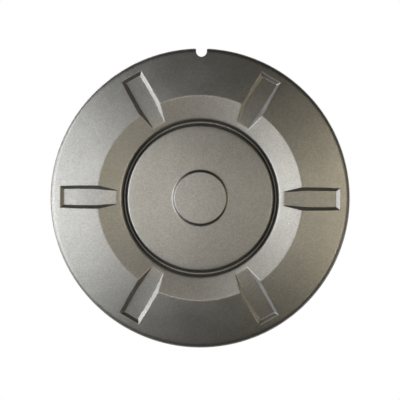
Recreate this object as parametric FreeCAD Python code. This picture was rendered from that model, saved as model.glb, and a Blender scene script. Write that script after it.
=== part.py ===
# Wheel centre cap, one moulded piece with clip legs behind it.
# Millimetres. The cap is drawn face up, with its axis along +Z and its rear edge
# in the plane z = 0, and turned at the end so that the face looks along -Y and
# the removal notch is at the top.
import FreeCAD, Part
import math
import os
from FreeCAD import Vector

# Driving sizes of the face, from the rim inwards
cap_radius = 108.0
wall = 2.4
rim_height = 8.0
rim_round = 4.0
band_width = 34.3
band_sphere = 470.0
ridge_round = 3.0
cone_width = 17.0
cone_angle = 14.0
groove_width = 4.5
groove_depth = 3.4
groove_floor_width = 1.2
disc_step = 0.4
disc_rise = 1.4
boss_radius = 20.0
boss_rise = 1.6
boss_bevel = 1.4

# Driving sizes of the pockets, which cross the ridge
pocket_count = 6
pocket_margin = 9.7
pocket_gap = 3.6
pocket_half_inner = 4.9
pocket_half_outer = 6.0
pocket_end_depth = 3.3
pocket_bulge = 0.6
pocket_draft = 29.5
pocket_end_draft = 41.0

# Driving sizes of the removal notch
notch_width = 7.7
notch_depth = 6.2

# Driving sizes of the back
leg_offset = 2.3
leg_width = 16.0
leg_thickness = 2.6
leg_reach = 12.0
hook_reach = 2.2
hook_length = 6.0
rib_thickness = 1.8
hub_ring_inset = 2.0

# Radii and heights that follow from the sizes above
ridge_radius = cap_radius - band_width
groove_outer_radius = ridge_radius - cone_width
groove_wall_width = (groove_width - groove_floor_width) / 2.0
disc_radius = groove_outer_radius - groove_width
band_centre = rim_height - math.sqrt(band_sphere ** 2 - cap_radius ** 2)
ridge_height = band_centre + math.sqrt(band_sphere ** 2 - ridge_radius ** 2)
cone_slope = math.tan(math.radians(cone_angle))
cone_drop = wall / math.cos(math.radians(cone_angle))
groove_outer_height = ridge_height - cone_width * cone_slope
groove_floor_height = groove_outer_height - groove_depth
disc_height = groove_outer_height + disc_step
hub_ring_radius = boss_radius - hub_ring_inset
pocket_start = groove_outer_radius + pocket_gap
pocket_end = cap_radius - pocket_margin
pocket_knee = ridge_radius + ridge_round
leg_radius = ridge_radius + leg_offset


def band_at(radius):
    """Height of the outer band, part of a large sphere about the axis."""
    return band_centre + math.sqrt(band_sphere ** 2 - radius ** 2)


def cone_at(radius):
    """Height of the cone between the groove and the ridge."""
    return ridge_height - (ridge_radius - radius) * cone_slope


def disc_at(radius):
    """Height of the disc inside the groove, a very shallow cone."""
    return disc_height + disc_rise * (1.0 - radius / disc_radius)


def point(radius, height):
    return Vector(radius, 0.0, height)


def straight(start, end):
    return Part.makeLine(point(*start), point(*end))


def curve(start, middle, end):
    return Part.Arc(point(*start), point(*middle), point(*end)).toShape()


def sphere_curve(start, end, centre):
    """Arc of a circle about a point on the axis, from start to end."""
    size = math.hypot(start[0], start[1] - centre)
    first = math.atan2(start[0], start[1] - centre)
    last = math.atan2(end[0], end[1] - centre)
    half = (first + last) / 2.0
    return curve(start, (size * math.sin(half), centre + size * math.cos(half)), end)


def round_on_sphere(corner, along, inward, centre, sphere, size):
    """Rounding between a straight line and a circle about a point on the axis.

    The line passes through corner, with unit vector along; inward is the unit vector
    from the line into the material. Gives the tangent point on the line, the middle of
    the rounding and the tangent point on the circle.
    """
    base_r = corner[0] + inward[0] * size
    base_h = corner[1] + inward[1] * size - centre
    half_b = base_r * along[0] + base_h * along[1]
    rest = base_r ** 2 + base_h ** 2 - (sphere - size) ** 2
    root = math.sqrt(half_b ** 2 - rest)
    step = min((-half_b - root, -half_b + root), key=abs)
    mid_r = base_r + along[0] * step
    mid_h = base_h + along[1] * step
    on_line = (mid_r - inward[0] * size, mid_h - inward[1] * size + centre)
    share = sphere / (sphere - size)
    on_sphere = (mid_r * share, mid_h * share + centre)
    out_r = on_line[0] + on_sphere[0] - 2.0 * mid_r
    out_h = on_line[1] + on_sphere[1] - 2.0 * (mid_h + centre)
    reach = max(math.hypot(out_r, out_h), 1e-9)
    middle = (mid_r + out_r / reach * size, mid_h + centre + out_h / reach * size)
    return on_line, middle, on_sphere


def turned(edges):
    """Solid of revolution from a closed half section."""
    face = Part.Face(Part.Wire(edges))
    return face.revolve(Vector(0, 0, 0), Vector(0, 0, 1), 360.0)


def full_body():
    """The cap before hollowing: everything under the face down to the rear plane."""
    angle = math.radians(cone_angle)
    ridge = (ridge_radius, ridge_height)
    lip = (groove_outer_radius, groove_outer_height)
    floor_out = (groove_outer_radius - groove_wall_width, groove_floor_height)
    floor_in = (disc_radius + groove_wall_width, groove_floor_height)
    disc = (disc_radius, disc_height)
    boss_foot = (boss_radius, disc_at(boss_radius))
    boss_top = (boss_radius - boss_bevel, boss_foot[1] + boss_rise)
    middle = (0.0, boss_top[1])
    rim = round_on_sphere((cap_radius, rim_height), (0.0, 1.0), (-1.0, 0.0),
                          band_centre, band_sphere, rim_round)
    crest = round_on_sphere(ridge, (math.cos(angle), math.sin(angle)),
                            (math.sin(angle), -math.cos(angle)),
                            band_centre, band_sphere, ridge_round)
    edges = [
        straight((0.0, 0.0), (cap_radius, 0.0)),
        straight((cap_radius, 0.0), rim[0]),
        curve(*rim),
        sphere_curve(rim[2], crest[2], band_centre),
        curve(*reversed(crest)),
        straight(crest[0], lip),
        straight(lip, floor_out),
        straight(floor_out, floor_in),
        straight(floor_in, disc),
        straight(disc, boss_foot),
        straight(boss_foot, boss_top),
        straight(boss_top, middle),
        straight(middle, (0.0, 0.0)),
    ]
    return turned(edges)


def hollow():
    """The space behind the face, one wall below it and open at the rear."""
    angle = math.radians(cone_angle)
    inner_sphere = band_sphere - wall
    skirt = cap_radius - wall
    rim = round_on_sphere((skirt, rim_height), (0.0, 1.0), (-1.0, 0.0),
                          band_centre, inner_sphere, 0.0)[0]
    ridge = round_on_sphere((ridge_radius, ridge_height - cone_drop),
                            (math.cos(angle), math.sin(angle)), (0.0, 0.0),
                            band_centre, inner_sphere, 0.0)[0]
    lip = (groove_outer_radius + wall, cone_at(groove_outer_radius + wall) - cone_drop)
    floor_out = (groove_outer_radius - groove_wall_width + wall / 2.0, groove_floor_height - wall)
    floor_in = (disc_radius + groove_wall_width - wall / 2.0, groove_floor_height - wall)
    disc = (disc_radius - wall, disc_at(disc_radius - wall) - wall)
    middle = (0.0, disc_at(0.0) - wall)
    edges = [
        straight((0.0, -1.0), (skirt, -1.0)),
        straight((skirt, -1.0), rim),
        sphere_curve(rim, ridge, band_centre),
        straight(ridge, lip),
        straight(lip, floor_out),
        straight(floor_out, floor_in),
        straight(floor_in, disc),
        straight(disc, middle),
        straight(middle, (0.0, -1.0)),
    ]
    return turned(edges)


# Heights of the pocket floor at its two ends
pocket_start_height = cone_at(pocket_start)
pocket_end_height = band_at(pocket_end) - pocket_end_depth


def floor_at(x):
    """Height of the pocket floor, a shallow parabola from its start to its end."""
    share = (x - pocket_start) / (pocket_end - pocket_start)
    drop = (pocket_start_height - pocket_end_height) * share
    return pocket_start_height - drop + 4.0 * pocket_bulge * share * (1.0 - share)


def half_at(x):
    """Half width of the pocket floor: it opens up to the knee and is even after it."""
    share = (x - pocket_start) / (pocket_knee - pocket_start)
    return pocket_half_inner + (pocket_half_outer - pocket_half_inner) * min(share, 1.0)


def pocket(grow):
    """Cutter for one pocket along +X, made larger all round by grow."""
    top = ridge_height + 4.0
    lean = math.tan(math.radians(pocket_draft))
    end_lean = math.tan(math.radians(pocket_end_draft))
    side = grow / math.cos(math.radians(pocket_draft))
    x_start = pocket_start - 2.0
    x_end = pocket_end + grow / math.cos(math.radians(pocket_end_draft)) - grow * end_lean
    x_half = (x_start + x_end) / 2.0
    z_start = floor_at(x_start) - grow
    z_half = floor_at(x_half) - grow
    z_end = floor_at(x_end) - grow
    x_top = x_end + (top - z_end) * end_lean
    section = Part.Face(Part.Wire([
        curve((x_start, z_start), (x_half, z_half), (x_end, z_end)),
        straight((x_end, z_end), (x_top, top)),
        straight((x_top, top), (x_start, top)),
        straight((x_start, top), (x_start, z_start)),
    ]))
    depth = 3.0 * pocket_half_outer
    section.translate(Vector(0, -depth, 0))
    slab = section.extrude(Vector(0, 2.0 * depth, 0))
    low = min(z_start, z_end) - 0.5
    wires = []
    for level in (low, top + 1.0):
        right = []
        for x in (x_start - 1.0, pocket_knee, x_top + 1.0):
            half = half_at(x) + (level - floor_at(min(x, x_end))) * lean + side
            right.append(Vector(x, max(half, 0.2), level))
        left = [Vector(p.x, -p.y, p.z) for p in reversed(right)]
        wires.append(Part.makePolygon(right + left + [right[0]]))
    wedge = Part.makeLoft(wires, True, True)
    return slab.common(wedge)


def around(shape, first_angle):
    """Copies of a shape at every pocket pitch round the axis."""
    pitch = 360.0 / pocket_count
    copies = []
    for index in range(pocket_count):
        copy = shape.copy()
        copy.rotate(Vector(0, 0, 0), Vector(0, 0, 1), first_angle + index * pitch)
        copies.append(copy)
    return copies


def plate(corners, thickness):
    """Flat plate with a (radius, height) outline, centred on the plane y = 0."""
    outline = [point(*corner) for corner in corners]
    face = Part.Face(Part.makePolygon(outline + [outline[0]]))
    face.translate(Vector(0, -thickness / 2.0, 0))
    return face.extrude(Vector(0, thickness, 0))


def leg():
    """Clip leg with an outward hook at its tip, and the web that stiffens it."""
    inner = leg_radius - leg_thickness
    root = min(band_at(leg_radius), cone_at(min(inner, ridge_radius))) - wall / 2.0
    tip = -leg_reach
    blade = plate([
        (inner, root),
        (leg_radius, root),
        (leg_radius, tip + hook_length),
        (leg_radius + hook_reach, tip + hook_length - hook_reach / 2.0),
        (leg_radius, tip),
        (inner, tip),
    ], leg_width)
    web_start = groove_outer_radius + 2.0 * wall
    web = plate([
        (inner + leg_thickness / 2.0, root),
        (inner + leg_thickness / 2.0, 0.0),
        (inner, 0.0),
        (web_start, cone_at(web_start) - wall),
        (web_start, cone_at(web_start) - wall / 2.0),
    ], rib_thickness)
    return blade.fuse(web)


def disc_rib():
    """Rib behind the disc, from the small ring at the centre out to the groove."""
    low = groove_floor_height - wall
    inner = hub_ring_radius - rib_thickness / 2.0
    outer = disc_radius + groove_wall_width
    rib_top = disc_at(disc_radius) - wall / 2.0
    return plate([
        (inner, low),
        (outer, low),
        (outer, low + wall / 2.0),
        (disc_radius - wall, rib_top),
        (inner, rib_top),
    ], rib_thickness)


def hub_ring():
    """Small round stiffening wall behind the middle of the disc."""
    low = groove_floor_height - wall
    high = disc_at(hub_ring_radius) - wall / 2.0
    outer = Part.makeCylinder(hub_ring_radius, high - low, Vector(0, 0, low))
    inner = Part.makeCylinder(hub_ring_radius - rib_thickness, high - low, Vector(0, 0, low))
    return outer.cut(inner)


def notch():
    """Cutter for the round-bottomed notch in the rim, at the top."""
    half = notch_width / 2.0
    height = ridge_height + 2.0
    middle = cap_radius - notch_depth + half
    slot = Part.makeBox(notch_width, cap_radius, height, Vector(-half, middle, -1.0))
    bottom = Part.makeCylinder(half, height, Vector(0, middle, -1.0))
    return slot.fuse(bottom)


def cap():
    """The whole cap, face up."""
    half_pitch = 180.0 / pocket_count
    face = full_body().cut(around(pocket(0.0), 0.0))
    space = hollow().cut(around(pocket(wall), 0.0))
    body = face.cut(space)
    backs = around(leg(), half_pitch) + around(disc_rib(), half_pitch) + [hub_ring()]
    body = body.fuse(backs)
    body = body.cut(notch())
    return body.removeSplitter()


wheel_cap = cap()
wheel_cap.rotate(Vector(0, 0, 0), Vector(1, 0, 0), 90.0)

os.makedirs("parts", exist_ok=True)
wheel_cap.exportStep("parts/wheel_cap.step")
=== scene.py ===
# Looks of the wheel centre cap. Shapes are worked out in millimetres, face up, with the
# height h along the axis, and then turned so that the face looks along -Y.
import math
import bmesh
import bpy
import numpy as np
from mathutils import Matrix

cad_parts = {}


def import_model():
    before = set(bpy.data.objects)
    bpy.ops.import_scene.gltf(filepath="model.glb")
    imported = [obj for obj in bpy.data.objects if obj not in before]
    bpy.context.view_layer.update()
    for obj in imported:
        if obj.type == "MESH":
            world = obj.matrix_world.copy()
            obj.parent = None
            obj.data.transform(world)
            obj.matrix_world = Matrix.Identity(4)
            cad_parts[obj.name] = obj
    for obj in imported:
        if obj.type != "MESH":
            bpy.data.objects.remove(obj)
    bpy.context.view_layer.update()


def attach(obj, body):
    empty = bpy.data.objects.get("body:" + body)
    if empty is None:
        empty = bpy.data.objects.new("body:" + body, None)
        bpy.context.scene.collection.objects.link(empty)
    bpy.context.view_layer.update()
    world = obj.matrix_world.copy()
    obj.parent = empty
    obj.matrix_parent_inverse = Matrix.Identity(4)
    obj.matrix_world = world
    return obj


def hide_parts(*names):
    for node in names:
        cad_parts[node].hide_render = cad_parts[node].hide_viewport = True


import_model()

# Sizes of the cap, the same as the solid's
CAP_R = 108.0
WALL = 2.4
RIM_H = 8.0
RIM_ROUND = 4.0
BAND_SPHERE = 470.0
RIDGE_R = 73.7
CONE_SLOPE = math.tan(math.radians(14.0))
GROOVE_R = 56.7
GROOVE_DEPTH = 3.4
GROOVE_WALL = 1.65
DISC_R = 52.2
DISC_STEP = 0.4
DISC_RISE = 1.4
BOSS_R = 20.0
BOSS_RISE = 1.6
BOSS_BEVEL = 1.4
POCKET_START = 60.3
POCKET_END = 98.3
POCKET_KNEE = 76.7
POCKET_HALF = 6.0
POCKET_NARROWING = 1.1
POCKET_BULGE = 0.6
POCKET_END_DEPTH = 3.3
SIDE_LEAN = math.tan(math.radians(29.5))
END_LEAN = math.tan(math.radians(41.0))
NOTCH_HALF = 3.85
NOTCH_MID = 105.59
NOTCH_ROUND = 0.9
INNER_ROUND = 0.9
LEG_R = 76.0
LEG_T = 2.6
LEG_W = 16.0
LEG_REACH = 12.0
HOOK_LENGTH = 6.0
HOOK_PEAK = 4.9
HOOK_OUT = 2.2
RIB_T = 1.8
RING_R = 18.0

BAND_C = RIM_H - math.sqrt(BAND_SPHERE ** 2 - CAP_R ** 2)
RIDGE_H = BAND_C + math.sqrt(BAND_SPHERE ** 2 - RIDGE_R ** 2)
BAND_SLOPE = RIDGE_R / math.sqrt(BAND_SPHERE ** 2 - RIDGE_R ** 2)
LIP_H = RIDGE_H - (RIDGE_R - GROOVE_R) * CONE_SLOPE
FLOOR_H = LIP_H - GROOVE_DEPTH
DISC_H = LIP_H + DISC_STEP
CONE_DROP = WALL * math.sqrt(1.0 + CONE_SLOPE ** 2)

# Six equal sectors, each with a pocket along its middle and a leg and a rib at its edge
SECTORS = 6
SECTOR = math.radians(60.0)
HALF_SECTOR = SECTOR / 2.0
LEG_SECTORS = [n + 0.5 for n in range(SECTORS)]

# A radius beyond the rim, for lines that the notch leaves whole, and a millimetre in metres
NO_LIMIT = 1e3
MM = 0.001


def ramp(r, corner, soft):
    """Zero before the corner and r minus corner after it, rounded over a few times soft."""
    return soft * np.logaddexp(0.0, (r - corner) / soft)


def lower(a, b, soft):
    """The lower of two heights, with the corner between them rounded."""
    return 0.5 * (a + b - np.sqrt((a - b) ** 2 + soft ** 2))


def higher(a, b, soft):
    """The higher of two heights, with the corner between them rounded."""
    return 0.5 * (a + b + np.sqrt((a - b) ** 2 + soft ** 2))


def ease(a, b, x):
    """Goes smoothly from 0 at a to 1 at b."""
    t = np.clip((x - a) / (b - a), 0.0, 1.0)
    return t * t * (3.0 - 2.0 * t)


def band_at(r):
    """Height of the outer band: a sphere about the axis."""
    return BAND_C + np.sqrt(BAND_SPHERE ** 2 - np.square(r))


def cone_at(r):
    """Height of the cone that falls from the ridge to the groove."""
    return RIDGE_H - (RIDGE_R - r) * CONE_SLOPE


def front_base(r):
    """Turned face without pockets: straight stretches joined by rounded corners, from the
    boss over the domed disc, the groove, the cone and the ridge, plus the bow of the band."""
    edge = 0.11
    shoulder = 0.26
    crest = 0.25
    dome = DISC_RISE * (1.0 - np.square(np.minimum(r, DISC_R) / DISC_R))
    boss = BOSS_RISE / BOSS_BEVEL
    inner = (DISC_H - FLOOR_H) / GROOVE_WALL
    outer = GROOVE_DEPTH / GROOVE_WALL
    h = DISC_H + BOSS_RISE + dome
    h = h - boss * (ramp(r, BOSS_R - BOSS_BEVEL, edge) - ramp(r, BOSS_R, 2.0 * edge))
    h = h - inner * (ramp(r, DISC_R, shoulder) - ramp(r, DISC_R + GROOVE_WALL, 1.6 * edge))
    h = h + outer * ramp(r, GROOVE_R - GROOVE_WALL, 1.6 * edge)
    h = h + (CONE_SLOPE - outer) * ramp(r, GROOVE_R, shoulder)
    h = h - (CONE_SLOPE + BAND_SLOPE) * ramp(r, RIDGE_R, crest)
    bow = band_at(r) - RIDGE_H + BAND_SLOPE * (r - RIDGE_R)
    return h + np.where(r > RIDGE_R, bow, 0.0)


def back_base(r):
    """Hollow behind the face without pockets: the same stretches one wall lower."""
    soft = 0.3
    disc_in = DISC_R - WALL
    groove_in = DISC_R + GROOVE_WALL - WALL / 2.0
    groove_out = GROOVE_R - GROOVE_WALL + WALL / 2.0
    lip = GROOVE_R + WALL
    crest_in = RIDGE_R - 0.15
    slope = DISC_RISE / DISC_R
    disc_h = DISC_H + DISC_RISE * (1.0 - disc_in / DISC_R) - WALL
    low = FLOOR_H - WALL
    fall = (disc_h - low) / (groove_in - disc_in)
    lip_h = cone_at(lip) - CONE_DROP
    rise = (lip_h - low) / (lip - groove_out)
    h = DISC_H + DISC_RISE - WALL - slope * r
    h = h + (slope - fall) * ramp(r, disc_in, soft) + fall * ramp(r, groove_in, soft)
    h = h + rise * ramp(r, groove_out, soft) + (CONE_SLOPE - rise) * ramp(r, lip, soft)
    h = h - (CONE_SLOPE + BAND_SLOPE) * ramp(r, crest_in, soft)
    bow = band_at(r) - RIDGE_H + BAND_SLOPE * (r - RIDGE_R)
    return h + np.where(r > RIDGE_R, bow, 0.0)


def floor_at(x):
    """Pocket floor along its length: a shallow parabola that falls outwards."""
    start = cone_at(POCKET_START)
    end = float(band_at(POCKET_END)) - POCKET_END_DEPTH
    share = (x - POCKET_START) / (POCKET_END - POCKET_START)
    return start - (start - end) * share + 4.0 * POCKET_BULGE * share * (1.0 - share)


def half_at(x):
    """Half width of the pocket floor: widens to the knee, then stays even."""
    soft = 0.8
    inward = ramp(POCKET_KNEE - x, 0.0, soft) / (POCKET_KNEE - POCKET_START)
    return POCKET_HALF - POCKET_NARROWING * inward


def pocket_at(x, y, grow):
    """Height of a pocket that lies along x, made larger all round by grow: the highest of
    its floor, its leaning sides and its leaning end. A steep rise ends it before its start."""
    floor = floor_at(x)
    side_gap = grow * math.sqrt(1.0 + SIDE_LEAN ** 2)
    end_gap = grow * math.sqrt(1.0 + END_LEAN ** 2)
    side = floor + (np.abs(y) - half_at(x) - side_gap) / SIDE_LEAN
    end = float(floor_at(POCKET_END)) + (x - POCKET_END - end_gap) / END_LEAN
    soft = 0.22 + 0.2 * grow
    h = higher(higher(floor - grow, side, soft), end, soft)
    before = POCKET_START - 0.8
    return h + 2.0 * np.maximum(before - x, 0.0)


def front_at(x, y):
    """Face of the cap in one sector, with its pocket along x."""
    r = np.hypot(x, y)
    return lower(front_base(r), pocket_at(x, y, 0.0), 0.2)


def back_at(x, y):
    """Inside of the cap in one sector, with its pocket's back standing into it."""
    r = np.hypot(x, y)
    return lower(back_base(r), pocket_at(x, y, WALL), 0.5)


def spaced(*runs):
    """Numbers from several (start, end, count) runs, each without its last one."""
    return np.concatenate([np.linspace(a, b, n, endpoint=False) for a, b, n in runs])


def sector_lines():
    """The lines that run outwards in one sector, as two shares per line: how far across
    the pocket and its sides, and how far on from there to the sector's edge."""
    across = np.concatenate([spaced((0.0, 1.0, 4)), spaced((1.0, 2.0, 15)), np.full(10, 2.0)])
    onward = np.concatenate([np.zeros(19), np.linspace(0.0, 1.0, 11)[:-1] ** 1.2])
    return across, onward


def lateral(radius, across, onward, side):
    """Sideways place of each line at each radius: over the floor, then up the side and a
    little past it, then by angle to the sector's edge at 30 degrees."""
    nearest = 58.0
    farthest = 99.0
    inset = 0.5
    past = 2.6
    least_depth = 0.8
    x = np.clip(radius, nearest, farthest)
    half = half_at(x)
    depth = np.maximum(front_base(x) - floor_at(x), least_depth)
    inner = half - inset
    outer = half + depth * SIDE_LEAN + past
    y = inner * np.minimum(across, 1.0) + (outer - inner) * np.clip(across - 1.0, 0.0, 1.0)
    y = y * radius / np.maximum(radius, nearest)
    angle = np.arcsin(np.clip(y / np.maximum(radius, 1e-6), -1.0, 1.0))
    angle = angle + (HALF_SECTOR - angle) * onward
    return side * radius * np.sin(angle), angle


def notch_limit(offset):
    """Radius where the notch ends, for a line this far to the side of its middle."""
    inside = NOTCH_MID - np.sqrt(np.maximum(NOTCH_HALF ** 2 - offset ** 2, 0.0))
    turn = np.clip((offset - NOTCH_HALF) / NOTCH_ROUND, 0.0, 1.0)
    mouth = CAP_R - NOTCH_ROUND + NOTCH_ROUND * np.sqrt(1.0 - (1.0 - turn) ** 2)
    return np.where(offset <= NOTCH_HALF, inside, mouth)


def all_lines():
    """Every line round the cap: sector number, side, shares and the radius where the rim
    ends on it. Extra lines at the notch follow its outline."""
    across, onward = sector_lines()
    offsets = np.concatenate([
        np.array([0.0]), NOTCH_HALF * np.sin(np.linspace(0.12, 1.0, 9) * math.pi / 2.0),
        NOTCH_HALF + 1e-6 + NOTCH_ROUND * (1.0 - np.cos(np.linspace(0.0, 1.0, 6) * math.pi / 2.0)),
        NOTCH_HALF + NOTCH_ROUND + np.array([0.8, 2.2, 4.2])])
    limits = notch_limit(offsets)
    notch_r = 105.0
    start = float(lateral(np.array(notch_r), 2.0, 0.0, 1.0)[1])
    shares = 1.0 - (offsets / notch_r) / (HALF_SECTOR - start)
    keep = np.ones(len(across), bool)
    near = onward < shares[-1] - 0.03
    rows = []
    for sector in range(SECTORS):
        plus_near = sector == 1
        minus_near = sector == 2
        minus = near if minus_near else keep
        plus = near if plus_near else keep
        low = [(sector, -1.0, a, o, NO_LIMIT) for a, o in zip(across[minus], onward[minus])
               if a > 0.0]
        high = [(sector, 1.0, a, o, NO_LIMIT) for a, o in zip(across[plus], onward[plus])]
        if minus_near:
            low += [(sector, -1.0, 2.0, s, l) for s, l in zip(shares[::-1], limits[::-1])][:-1]
        else:
            low += [(sector, -1.0, 2.0, 1.0, NO_LIMIT)]
        if plus_near:
            high += [(sector, 1.0, 2.0, s, l) for s, l in zip(shares[::-1], limits[::-1])]
            high = high[:-1] + [(sector, 1.0, 2.0, 1.0, limits[0])]
        rows += low[::-1] + high
    return np.array(rows)


def cap_stations():
    """Radii across the face and back across the inside, closer together where the section
    bends."""
    face = spaced((0.9, 17.6, 6), (17.6, 19.2, 8), (19.2, 20.9, 7), (20.9, 51.3, 12),
                  (51.3, 53.0, 9), (53.0, 54.1, 6), (54.1, 54.7, 2), (54.7, 55.8, 6),
                  (55.8, 57.2, 8), (57.2, 59.4, 3), (59.4, 61.4, 6), (61.4, 72.2, 9),
                  (72.2, 75.4, 10), (75.4, 97.2, 15), (97.2, 99.0, 7), (99.0, 100.2, 3),
                  (100.2, 101.8, 7), (101.8, 104.7, 3))
    inside = spaced((105.2, 103.4, 4), (103.4, 98.4, 11), (98.4, 76.0, 13), (76.0, 72.0, 7),
                    (72.0, 63.0, 5), (63.0, 59.6, 5), (59.6, 56.0, 8), (56.0, 52.8, 4),
                    (52.8, 49.4, 8), (49.4, 0.9, 10))
    return face, np.append(inside, 0.9)


def hollow_top(r):
    """Height of the hollow near the skirt, with the rounded corner where they meet."""
    inner_r = CAP_R - WALL
    share = np.clip((r - inner_r + INNER_ROUND) / INNER_ROUND, 0.0, 1.0)
    drop = INNER_ROUND * (1.0 - np.sqrt(1.0 - share ** 2))
    return back_base(np.minimum(r, inner_r)) - drop


def rim_section():
    """Rolled rim in half section: a quarter rounding from the band to the skirt, the skirt,
    the flat rear edge with its two small roundings, and the inner side of the skirt."""
    centre_r = CAP_R - RIM_ROUND
    centre_h = BAND_C + math.sqrt((BAND_SPHERE - RIM_ROUND) ** 2 - centre_r ** 2)
    tilt = math.atan2(centre_r, centre_h - BAND_C)
    turn = np.linspace(tilt, math.pi / 2.0, 12)
    roll = np.stack([centre_r + RIM_ROUND * np.sin(turn), centre_h + RIM_ROUND * np.cos(turn)], 1)
    small = 0.4
    step = 1.6
    bend = np.linspace(0.0, math.pi / 2.0, 4)
    outer = np.stack([CAP_R - small + small * np.cos(bend), small - small * np.sin(bend)], 1)
    inner_r = CAP_R - WALL
    inner = np.stack([inner_r + small - small * np.sin(bend), small - small * np.cos(bend)], 1)
    top = float(back_base(np.array(inner_r)))
    up = np.stack([np.full(3, inner_r), np.linspace(step, top - INNER_ROUND, 3)], 1)
    corner_r = inner_r - INNER_ROUND * (1.0 - np.cos(bend[1:]))
    corner = np.stack([corner_r, hollow_top(corner_r)], 1)
    down = np.stack([np.full(2, CAP_R), np.array([2.0 * step, step])], 1)
    return np.concatenate([roll, down, outer, inner, up, corner])


def plan_places(radius, lines):
    """Sector coordinates of every station on every line. Stations are arcs about the axis,
    and straight across the pocket near its outer end."""
    r = np.minimum(radius[:, None], lines[None, :, 4])
    y = lateral(r, lines[None, :, 2], lines[None, :, 3], lines[None, :, 1])[0]
    near_end = ease(88.0, 97.0, r) * (1.0 - ease(101.6, 104.6, r))
    straight = near_end * (1.0 - ease(9.0, 22.0, np.abs(y)))
    x = np.sqrt(np.maximum(r ** 2 - (1.0 - straight) * y ** 2, 0.0))
    return x, y


def turned_out(x, y, h, sector):
    """Sector coordinates and height as points of the shared frame, in metres."""
    angle = sector * SECTOR
    px = x * np.cos(angle) - y * np.sin(angle)
    pz = x * np.sin(angle) + y * np.cos(angle)
    return np.stack([px, -h, pz], -1) * MM


def make_mesh(name, points, faces, material_index=None):
    """Mesh object from points and quads, doubles merged, faces turned outwards."""
    mesh = bpy.data.meshes.new(name)
    mesh.from_pydata(points.reshape(-1, 3).tolist(), [], faces)
    if material_index is not None:
        mesh.polygons.foreach_set("material_index", np.asarray(material_index, np.int32))
    work = bmesh.new()
    work.from_mesh(mesh)
    bmesh.ops.remove_doubles(work, verts=work.verts, dist=2e-7)
    bmesh.ops.dissolve_degenerate(work, dist=1e-7, edges=work.edges)
    bmesh.ops.recalc_face_normals(work, faces=work.faces)
    work.to_mesh(mesh)
    work.free()
    mesh.polygons.foreach_set("use_smooth", np.ones(len(mesh.polygons), bool))
    mesh.set_sharp_from_angle(angle=math.radians(38.0))
    piece = bpy.data.objects.new(name, mesh)
    bpy.context.scene.collection.objects.link(piece)
    return piece


def ring_faces(rows, count, first):
    """Quads between neighbouring rings of points, each ring closed on itself."""
    i, j = np.meshgrid(np.arange(rows - 1), np.arange(count), indexing="ij")
    k = (j + 1) % count
    quads = np.stack([i * count + j, i * count + k, (i + 1) * count + k, (i + 1) * count + j], -1)
    return (quads.reshape(-1, 4) + first).tolist()


def cap_moulding():
    """The whole cap as one closed surface: rings from the middle of the face out over the
    rim and back to the middle of the inside, with lines that follow the pockets and notch.
    The paint ends on the inner rounding of the skirt's rear edge and at the notch's walls."""
    lines = all_lines()
    sector = lines[None, :, 0]
    face_r, inside_r = cap_stations()
    rim = rim_section()
    x, y = plan_places(face_r, lines)
    front = turned_out(x, y, front_at(x, y), sector)
    limit = lines[None, :, 4]
    x, y = plan_places(rim[:, 0], lines)
    r = np.minimum(rim[:, :1], limit)
    top = front_base(np.minimum(r, CAP_R - RIM_ROUND))
    low = np.where(limit < CAP_R - WALL, hollow_top(limit), 0.0)
    h = np.where(rim[:, :1] > limit, np.clip(rim[:, 1:], low, top), rim[:, 1:])
    edge = turned_out(x, y, h, sector)
    x, y = plan_places(inside_r, lines)
    back = turned_out(x, y, back_at(x, y), sector)
    rings = np.concatenate([front, edge, back])
    rows, count = rings.shape[:2]
    poles = np.array([[[0.0, -float(front_base(np.array(0.0))), 0.0]],
                      [[0.0, -float(back_base(np.array(0.0))), 0.0]]]) * MM
    points = np.concatenate([rings.reshape(-1, 3), poles.reshape(-1, 3)])
    faces = ring_faces(rows, count, 0)
    bare = np.zeros((rows - 1, count), bool)
    inner_rings = 9
    bare[len(face_r) + len(rim) - inner_rings:] = True
    cut = rim[:, :1] > limit
    along = cut[:-1] & cut[1:]
    bare[len(face_r):len(face_r) + len(rim) - 1] |= along | np.roll(along, -1, 1)
    index = bare.astype(int).reshape(-1).tolist()
    last = (rows - 1) * count
    for j in range(count):
        k = (j + 1) % count
        faces.append([rows * count, k, j])
        faces.append([rows * count + 1, last + j, last + k])
        index += [0, 1]
    return make_mesh("cap_moulding", points, faces, index)


def plate_points(outline, thickness, sector):
    """Flat plate with a (radius, height) outline, standing this many sectors round the axis."""
    outline = np.asarray(outline, float)
    sides = np.array([-thickness / 2.0, thickness / 2.0])
    x = np.repeat(outline[None, :, 0], 2, 0)
    h = np.repeat(outline[None, :, 1], 2, 0)
    y = np.repeat(sides[:, None], len(outline), 1)
    return turned_out(x, y, h, np.full(x.shape, sector))


def plates(name, outlines, bevel):
    """One object made of many flat plates, each a closed prism with softened edges."""
    points = []
    faces = []
    first = 0
    for outline, thickness, sector in outlines:
        n = len(outline)
        points.append(plate_points(outline, thickness, sector).reshape(-1, 3))
        for i in range(n):
            k = (i + 1) % n
            faces.append([first + i, first + k, first + n + k, first + n + i])
        faces.append([first + i for i in range(n)])
        faces.append([first + n + i for i in range(n)])
        first += 2 * n
    piece = make_mesh(name, np.concatenate(points), faces)
    soften = piece.modifiers.new("soft_edges", "BEVEL")
    soften.width = bevel * MM
    soften.segments = 3
    soften.limit_method = "ANGLE"
    soften.angle_limit = math.radians(30.0)
    return piece


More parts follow.
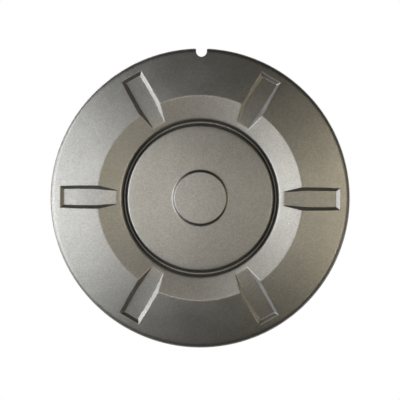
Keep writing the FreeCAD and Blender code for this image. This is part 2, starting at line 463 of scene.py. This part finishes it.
def clip_legs():
    """Six legs with an outward hook at the tip, each with the web that stiffens it."""
    inner = LEG_R - LEG_T
    root = min(float(band_at(LEG_R)), cone_at(inner)) - WALL / 2.0
    tip = -LEG_REACH
    blade = [(inner, root), (LEG_R, root), (LEG_R, tip + HOOK_LENGTH),
             (LEG_R + HOOK_OUT, tip + HOOK_PEAK), (LEG_R, tip), (inner, tip)]
    start = GROOVE_R + 2.0 * WALL
    web = [(inner + LEG_T / 2.0, root), (inner + LEG_T / 2.0, 0.0), (inner, 0.0),
           (start, cone_at(start) - WALL), (start, cone_at(start) - WALL / 2.0)]
    rows = []
    for sector in LEG_SECTORS:
        rows.append((blade, LEG_W, sector))
        rows.append((web, RIB_T, sector))
    return plates("clip_legs", rows, 0.35)


def disc_ribs():
    """Six ribs behind the disc, from the small ring out to the groove."""
    low = FLOOR_H - WALL
    rib_top = DISC_H - WALL / 2.0
    inner = RING_R - RIB_T / 2.0
    outer = DISC_R + GROOVE_WALL
    rib = [(inner, low), (outer, low), (outer, low + WALL / 2.0), (DISC_R - WALL, rib_top),
           (inner, rib_top)]
    return plates("disc_ribs", [(rib, RIB_T, sector) for sector in LEG_SECTORS], 0.3)


def hub_ring():
    """Small stiffening wall behind the disc: a rounded section turned about the axis."""
    low = FLOOR_H - WALL
    high = DISC_H + DISC_RISE * (1.0 - RING_R / DISC_R) - WALL / 2.0
    bend = np.linspace(0.0, math.pi / 2.0, 4)
    soft = 0.35
    left_r = RING_R - RIB_T + soft - soft * np.cos(bend)
    left = np.stack([left_r, low + soft - soft * np.sin(bend)], 1)
    right_r = RING_R - soft + soft * np.sin(bend)
    right = np.stack([right_r, low + soft - soft * np.cos(bend)], 1)
    top = np.array([[RING_R, high], [RING_R - RIB_T, high]])
    section = np.concatenate([left, right, top])
    count = 120
    turn = np.arange(count) * (SECTORS / count)
    r = np.repeat(section[:, :1], count, 1)
    h = np.repeat(section[:, 1:], count, 1)
    points = turned_out(r, np.zeros_like(r), h, turn[None, :])
    points = np.concatenate([points, points[:1]])
    return make_mesh("hub_ring", points, ring_faces(len(points), count, 0))


def feed(tree, socket, value):
    """Links a socket to another one, or sets it to a constant."""
    if hasattr(value, "is_linked"):
        tree.links.new(value, socket)
    else:
        socket.default_value = value


def math_node(tree, kind, a, b):
    """Result of a maths node on two values, each a socket or a constant."""
    node = tree.nodes.new("ShaderNodeMath")
    node.operation = kind
    feed(tree, node.inputs[0], a)
    feed(tree, node.inputs[1], b)
    return node.outputs[0]


class Nodes:
    """Short calls for building a node material on Object coordinates."""

    def __init__(self, name):
        self.material = bpy.data.materials.new(name)
        self.material.use_nodes = True
        self.tree = self.material.node_tree
        self.shader = self.tree.nodes["Principled BSDF"]
        self.place = self.add("ShaderNodeTexCoord").outputs["Object"]

    def add(self, kind, **inputs):
        """New node of this kind with its inputs fed by name."""
        node = self.tree.nodes.new(kind)
        for key, value in inputs.items():
            self.feed(node.inputs[key.replace("_", " ")], value)
        return node

    def feed(self, socket, value):
        """Links or sets a socket of this material."""
        feed(self.tree, socket, value)

    def noise(self, scale, detail=2.0, roughness=0.5):
        """Soft random pattern, this many waves to the metre."""
        node = self.add("ShaderNodeTexNoise", Vector=self.place, Scale=scale, Detail=detail,
                        Roughness=roughness)
        return node.outputs["Fac"]

    def flakes(self, scale):
        """Random colour for each cell, this many cells to the metre."""
        node = self.add("ShaderNodeTexVoronoi", Vector=self.place, Scale=scale)
        return node.outputs["Color"]

    def span(self, value, low, high, to_low, to_high):
        """Value carried evenly from one range to another and held at its ends."""
        node = self.add("ShaderNodeMapRange", Value=value, From_Min=low, From_Max=high,
                        To_Min=to_low, To_Max=to_high)
        return node.outputs["Result"]

    def steepness(self):
        """0 where the face looks forwards, 1 on the steep walls of pockets and groove."""
        node = self.add("ShaderNodeTexCoord")
        parts = self.add("ShaderNodeSeparateXYZ", Vector=node.outputs["Normal"])
        return self.span(parts.outputs["Y"], -0.80, -0.50, 0.0, 1.0)

    def within(self, inner, outer, soft):
        """1 between two radii about the cap's axis, 0 outside them."""
        parts = self.add("ShaderNodeSeparateXYZ", Vector=self.place)
        across = self.math("MULTIPLY", parts.outputs["X"], parts.outputs["X"])
        up = self.math("MULTIPLY", parts.outputs["Z"], parts.outputs["Z"])
        radius = self.math("SQRT", self.math("ADD", across, up))
        start = self.span(radius, inner - soft, inner, 0.0, 1.0)
        return self.math("MULTIPLY", start, self.span(radius, outer, outer + soft, 1.0, 0.0))

    def aside(self, near, far, most):
        """0 near the upright line through the axis, up to most this far left or right."""
        parts = self.add("ShaderNodeSeparateXYZ", Vector=self.place)
        away = self.math("ABSOLUTE", parts.outputs["X"])
        return self.span(away, near, far, 0.0, most)

    def math(self, kind, a, b=0.0):
        """Sum, product or the like of one or two values."""
        return math_node(self.tree, kind, a, b)

    def mix(self, share, a, b):
        """Colour a with this share of colour b."""
        node = self.tree.nodes.new("ShaderNodeMix")
        node.data_type = "RGBA"
        self.feed(node.inputs[0], share)
        self.feed(node.inputs[6], a)
        self.feed(node.inputs[7], b)
        return node.outputs[2]

    def grey(self, colour):
        """One channel of a random colour, as a random number."""
        node = self.add("ShaderNodeSeparateColor", Color=colour)
        return node.outputs["Red"]

    def eased(self, share):
        """Shading normal turned a little towards the front, by this share."""
        plain = self.add("ShaderNodeTexCoord").outputs["Normal"]
        node = self.tree.nodes.new("ShaderNodeMix")
        node.data_type = "VECTOR"
        self.feed(node.inputs[0], share)
        self.feed(node.inputs[4], plain)
        self.feed(node.inputs[5], (0.0, -1.0, 0.0))
        turn = self.add("ShaderNodeVectorTransform", Vector=node.outputs[1])
        turn.vector_type = "NORMAL"
        turn.convert_from = "OBJECT"
        turn.convert_to = "WORLD"
        return turn.outputs[0]

    def bump(self, height, strength, distance, normal=None):
        """Shading normal of a slightly uneven surface, on top of another normal if given."""
        node = self.add("ShaderNodeBump", Height=height, Strength=strength, Distance=distance)
        if normal is not None:
            self.feed(node.inputs["Normal"], normal)
        return node.outputs["Normal"]


# Colours of the finishes
PAINT_DARK = (0.285, 0.280, 0.266, 1.0)
PAINT_LIGHT = (0.430, 0.424, 0.406, 1.0)
PAINT_SPECK = (0.62, 0.60, 0.56, 1.0)
# Painted shade: dark colour mixed into the paint on the steep walls and in the groove
PAINTED_SHADE_COLOUR = (0.045, 0.044, 0.040, 1.0)
PAINT_GRAZING = (0.20, 0.20, 0.20, 1.0)
PLASTIC_DARK = (0.085, 0.085, 0.085, 1.0)
PLASTIC_LIGHT = (0.120, 0.120, 0.117, 1.0)
STRAY_PAINT = (0.22, 0.215, 0.20, 1.0)
STUDIO_GREY = (0.13, 0.13, 0.12, 1.0)
STUDIO_WARM = (1.0, 0.95, 0.88, 1.0)
WHITE = (1.0, 1.0, 1.0, 1.0)

# Radii in metres where shade is painted into the paint's colour or its shading is eased
WALLS_FROM = 10.0 * MM
WALLS_TO = (CAP_R - 5.5) * MM
POCKETS_FROM = (GROOVE_R + 2.3) * MM
GROOVE_FROM = (DISC_R + 0.9) * MM
GROOVE_TO = (GROOVE_R - 1.2) * MM


def metallic_paint():
    """Dark silver-grey metallic paint: fine flakes that differ in brightness and tilt, a
    faint orange peel, slightly uneven gloss and a few small light specks. Shade is painted
    into its colour on the steep walls and in the groove, darkest at the groove's left and
    right; the paint looks softer on the pocket walls and darkens at grazing angles."""
    m = Nodes("metallic_grey_paint")
    fine = m.grey(m.flakes(2600.0))
    coarse = m.grey(m.flakes(1100.0))
    cloud = m.noise(38.0, 3.0)
    glint = m.math("ADD", m.math("MULTIPLY", fine, 0.6), m.math("MULTIPLY", coarse, 0.4))
    shade = m.math("ADD", m.span(glint, 0.1, 0.9, -0.20, 0.20), m.span(cloud, 0.3, 0.7, -0.05, 0.05))
    tone = m.mix(m.span(shade, -0.25, 0.25, 0.0, 1.0), PAINT_DARK, PAINT_LIGHT)
    speck = m.span(m.noise(420.0, 1.0), 0.80, 0.83, 0.0, 1.0)
    tone = m.mix(speck, tone, PAINT_SPECK)
    # Painted shade: the paint's colour darkened on the steep walls of the pockets and groove
    walls = m.math("MULTIPLY", m.steepness(), m.within(WALLS_FROM, WALLS_TO, 1.0 * MM))
    # Painted shade in the groove, where its walls shade the floor: darkest at the left and right
    groove = m.within(GROOVE_FROM, GROOVE_TO, 0.5 * MM)
    groove = m.math("MULTIPLY", groove, m.aside(15.0 * MM, 45.0 * MM, 0.75))
    painted_shade = m.math("MAXIMUM", m.math("MULTIPLY", walls, 0.2), groove)
    m.feed(m.shader.inputs["Base Color"], m.mix(painted_shade, tone, PAINTED_SHADE_COLOUR))
    m.shader.inputs["Metallic"].default_value = 1.0
    smear = m.noise(55.0, 4.0, 0.6)
    m.feed(m.shader.inputs["Roughness"], m.span(smear, 0.3, 0.7, 0.39, 0.44))
    m.shader.inputs["Specular Tint"].default_value = PAINT_GRAZING
    m.shader.inputs["Coat Weight"].default_value = 0.10
    m.shader.inputs["Coat Roughness"].default_value = 0.06
    pockets = m.math("MULTIPLY", walls, m.within(POCKETS_FROM, WALLS_TO, 1.0 * MM))
    even = m.eased(m.math("MULTIPLY", pockets, 0.56))
    peel = m.bump(m.noise(260.0, 1.0), 0.10, 0.0004, even)
    m.feed(m.shader.inputs["Normal"], m.bump(glint, 0.06, 0.0003, peel))
    return m.material


def bare_plastic():
    """Dark grey moulded plastic of the back, with a fine grain and a little stray paint."""
    m = Nodes("bare_plastic_back")
    cloud = m.noise(60.0, 4.0, 0.6)
    base = m.mix(cloud, PLASTIC_DARK, PLASTIC_LIGHT)
    mist = m.math("MULTIPLY", m.noise(900.0, 2.0), m.noise(24.0, 2.0))
    spray = m.span(mist, 0.30, 0.42, 0.0, 0.35)
    m.feed(m.shader.inputs["Base Color"], m.mix(spray, base, STRAY_PAINT))
    m.feed(m.shader.inputs["Roughness"], m.span(cloud, 0.3, 0.7, 0.46, 0.58))
    m.feed(m.shader.inputs["Normal"], m.bump(m.noise(1500.0, 2.0), 0.12, 0.0003))
    return m.material


paint = metallic_paint()
plastic = bare_plastic()
moulding = cap_moulding()
moulding.data.materials.append(paint)
moulding.data.materials.append(plastic)
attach(moulding, "root")
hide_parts("wheel_cap")
for piece in (clip_legs(), disc_ribs(), hub_ring()):
    piece.data.materials.append(plastic)
    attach(piece, "root")


def shown_white(tree, place):
    """Share of white that a ray sees: all of it from the camera, and in metal and glass the
    part that lies behind the cap, so that the face keeps the dim room in front of it."""
    path = tree.nodes.new("ShaderNodeLightPath")
    parts = tree.nodes.new("ShaderNodeSeparateXYZ")
    tree.links.new(place, parts.inputs[0])
    behind = tree.nodes.new("ShaderNodeMapRange")
    behind.inputs["From Min"].default_value = 0.35
    behind.inputs["From Max"].default_value = 0.60
    tree.links.new(parts.outputs["Y"], behind.inputs["Value"])
    glossy = path.outputs["Is Glossy Ray"]
    clear = path.outputs["Is Transmission Ray"]
    seen = math_node(tree, "MAXIMUM", glossy, clear)
    mirrored = math_node(tree, "MULTIPLY", seen, behind.outputs["Result"])
    return math_node(tree, "MAXIMUM", path.outputs["Is Camera Ray"], mirrored)


def backdrop_material():
    """Pale studio surface: white to the camera, plain grey for light."""
    material = bpy.data.materials.new("pale_floor")
    material.use_nodes = True
    tree = material.node_tree
    tree.nodes.clear()
    out = tree.nodes.new("ShaderNodeOutputMaterial")
    mix = tree.nodes.new("ShaderNodeMixShader")
    place = tree.nodes.new("ShaderNodeNewGeometry").outputs["Position"]
    matte = tree.nodes.new("ShaderNodeBsdfDiffuse")
    matte.inputs["Color"].default_value = STUDIO_GREY
    glow = tree.nodes.new("ShaderNodeEmission")
    glow.inputs["Color"].default_value = WHITE
    glow.inputs["Strength"].default_value = 1.0
    tree.links.new(shown_white(tree, place), mix.inputs[0])
    tree.links.new(matte.outputs[0], mix.inputs[1])
    tree.links.new(glow.outputs[0], mix.inputs[2])
    tree.links.new(mix.outputs[0], out.inputs[0])
    return material


def floor():
    """Plain pale floor under the cap."""
    low = -1.25
    half = 6.0
    corners = [(-half, -half, low), (half, -half, low), (half, half, low), (-half, half, low)]
    mesh = bpy.data.meshes.new("floor")
    mesh.from_pydata(corners, [], [(0, 1, 2, 3)])
    mesh.materials.append(backdrop_material())
    piece = bpy.data.objects.new("floor", mesh)
    bpy.context.scene.collection.objects.link(piece)


def world():
    """White to the camera, dim and slightly warm for light."""
    scene = bpy.context.scene
    scene.world = bpy.data.worlds.new("studio")
    scene.world.use_nodes = True
    tree = scene.world.node_tree
    tree.nodes.clear()
    out = tree.nodes.new("ShaderNodeOutputWorld")
    mix = tree.nodes.new("ShaderNodeMixShader")
    place = tree.nodes.new("ShaderNodeTexCoord").outputs["Generated"]
    dim = tree.nodes.new("ShaderNodeBackground")
    dim.inputs["Color"].default_value = STUDIO_WARM
    dim.inputs["Strength"].default_value = 0.03
    white = tree.nodes.new("ShaderNodeBackground")
    white.inputs["Strength"].default_value = 1.0
    white.inputs["Color"].default_value = WHITE
    tree.links.new(shown_white(tree, place), mix.inputs[0])
    tree.links.new(dim.outputs[0], mix.inputs[1])
    tree.links.new(white.outputs[0], mix.inputs[2])
    tree.links.new(mix.outputs[0], out.inputs[0])


def softbox(name, turn, lift, distance, size, power, colour):
    """Area light that faces the middle of the cap, this many degrees to the right of the
    camera's side and above it. Its distance and size are in metres, its power in watts."""
    across = math.radians(turn)
    up = math.radians(lift)
    lamp = bpy.data.lights.new(name, "AREA")
    lamp.shape = "RECTANGLE"
    lamp.size, lamp.size_y = size
    lamp.energy = power
    lamp.color = colour
    light = bpy.data.objects.new(name, lamp)
    level = distance * math.cos(up)
    light.location = (level * math.sin(across), -level * math.cos(across), distance * math.sin(up))
    light.rotation_euler = (-light.location).to_track_quat("-Z", "Y").to_euler()
    bpy.context.scene.collection.objects.link(light)


def lights():
    """A bright window on the left with a narrow light for the rim's edge, a weak warm one
    on the right, small lights in front and two soft ones for the back."""
    cool = (1.0, 1.0, 1.0)
    warm = (1.0, 0.90, 0.68)
    softbox("left_window", -38.0, -1.0, 1.1, (0.60, 0.8), 4.4, (0.96, 0.985, 1.0))
    softbox("left_side", -63.0, 0.0, 1.1, (0.40, 1.5), 6.2, cool)
    softbox("left_edge", -94.0, 0.0, 1.1, (0.24, 0.9), 4.0, cool)
    softbox("right_window", 38.0, -2.0, 1.1, (0.30, 0.7), 1.9, warm)
    softbox("right_side", 76.0, 0.0, 1.1, (0.30, 0.8), 0.5, warm)
    softbox("front", -8.0, 0.0, 1.1, (0.6, 0.35), 0.30, (1.0, 0.94, 0.86))
    softbox("near_left", -10.0, 1.0, 0.36, (0.12, 0.12), 0.06, (1.0, 0.93, 0.8))
    softbox("near_axis", -13.0, -4.0, 0.21, (0.12, 0.12), 0.018, (1.0, 0.93, 0.86))
    softbox("near_right", 27.0, -5.0, 0.21, (0.08, 0.12), 0.018, (1.0, 0.93, 0.80))
    softbox("behind_left", -152.0, 24.0, 1.4, (0.8, 0.8), 14.0, cool)
    softbox("behind_right", 150.0, 8.0, 1.4, (0.8, 0.8), 5.0, warm)


def camera():
    """Straight at the face, so that the cap is about 300 pixels across in a 400 pixel image."""
    image = 400.0
    cap_radius_px = 149.9
    right_px = 0.2
    up_px = 2.0
    edge_depth = 8.5 * MM
    data = bpy.data.cameras.new("camera")
    distance = 1.6
    reach = distance - edge_depth
    data.sensor_width = 36.0
    data.sensor_fit = "HORIZONTAL"
    half_width = CAP_R * MM * (image / 2.0) / cap_radius_px
    data.lens = data.sensor_width / 2.0 * reach / half_width
    data.shift_x = -right_px / image
    data.shift_y = -up_px / image
    view = bpy.data.objects.new("camera", data)
    view.location = (0.0, -distance, 0.0)
    view.rotation_euler = (math.radians(90.0), math.radians(-0.5), 0.0)
    bpy.context.scene.collection.objects.link(view)
    bpy.context.scene.camera = view


floor()
world()
lights()
camera()
scene = bpy.context.scene
scene.view_settings.view_transform = "Standard"
